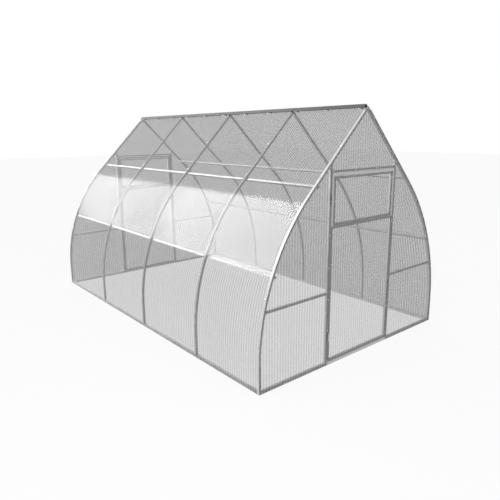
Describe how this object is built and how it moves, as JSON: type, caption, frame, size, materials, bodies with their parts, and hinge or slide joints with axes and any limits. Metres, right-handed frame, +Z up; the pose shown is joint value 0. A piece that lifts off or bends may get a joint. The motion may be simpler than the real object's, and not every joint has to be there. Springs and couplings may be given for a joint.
{
  "type": "drop-shaped greenhouse",
  "caption": "Drop-shaped walk-in greenhouse: pointed arches of square steel tube under ribbed clear sheet, with a hinged door and a top vent in each end.",
  "frame": {"origin": "centre of the footprint at ground level, midway between the two ends", "axes": "+X across the width, +Y along the length towards the rear end, +Z up; the front end faces -Y"},
  "size_m": [2.44, 4.01, 2.2356],
  "materials": {
    "galvanised_tube": "galvanised, dull",
    "ridge_metal": "galvanised, weathered darker",
    "roof_sheet": "clear twin-wall sheet, glossy",
    "end_sheet": "clear twin-wall sheet, glossy"
  },
  "bodies": {
    "root": {"base_rail_left": "galvanised_tube", "base_rail_right": "galvanised_tube", "front_sill": "galvanised_tube", "rear_sill": "galvanised_tube", "arch_1_left": "galvanised_tube", "arch_1_right": "galvanised_tube", "arch_2_left": "galvanised_tube", "arch_2_right": "galvanised_tube", "arch_3_left": "galvanised_tube", "arch_3_right": "galvanised_tube", "arch_4_left": "galvanised_tube", "arch_4_right": "galvanised_tube", "arch_5_left": "galvanised_tube", "arch_5_right": "galvanised_tube", "upper_purlin_left": "galvanised_tube", "upper_purlin_right": "galvanised_tube", "lower_purlin_left": "galvanised_tube", "lower_purlin_right": "galvanised_tube", "front_left_post": "galvanised_tube", "front_right_post": "galvanised_tube", "front_header": "galvanised_tube", "front_middle_rails": "galvanised_tube", "rear_left_post": "galvanised_tube", "rear_right_post": "galvanised_tube", "rear_header": "galvanised_tube", "rear_middle_rails": "galvanised_tube", "ridge_cap": "ridge_metal", "left_sheet_front": "roof_sheet", "left_sheet_rear": "roof_sheet", "right_sheet_front": "roof_sheet", "right_sheet_rear": "roof_sheet", "front_left_panel": "end_sheet", "front_right_panel": "end_sheet", "front_gable_panel": "end_sheet", "rear_left_panel": "end_sheet", "rear_right_panel": "end_sheet", "rear_gable_panel": "end_sheet"},
    "front_door": {"front_door_frame": "galvanised_tube", "front_door_panel": "end_sheet", "front_vent_frame": "galvanised_tube", "front_vent_panel": "end_sheet"},
    "rear_door": {"rear_door_frame": "galvanised_tube", "rear_door_panel": "end_sheet", "rear_vent_frame": "galvanised_tube", "rear_vent_panel": "end_sheet"}
  },
  "joints": [
    {"name": "front_door_hinge", "type": "hinge", "parent": "root", "child": "front_door", "pos_m": [-0.425, -1.998, 0.28], "axis": [0, 0, -1], "range_deg": [0, 110]},
    {"name": "rear_door_hinge", "type": "hinge", "parent": "root", "child": "rear_door", "pos_m": [0.425, 1.998, 0.28], "axis": [0, 0, -1], "range_deg": [0, 110]}
  ]
}
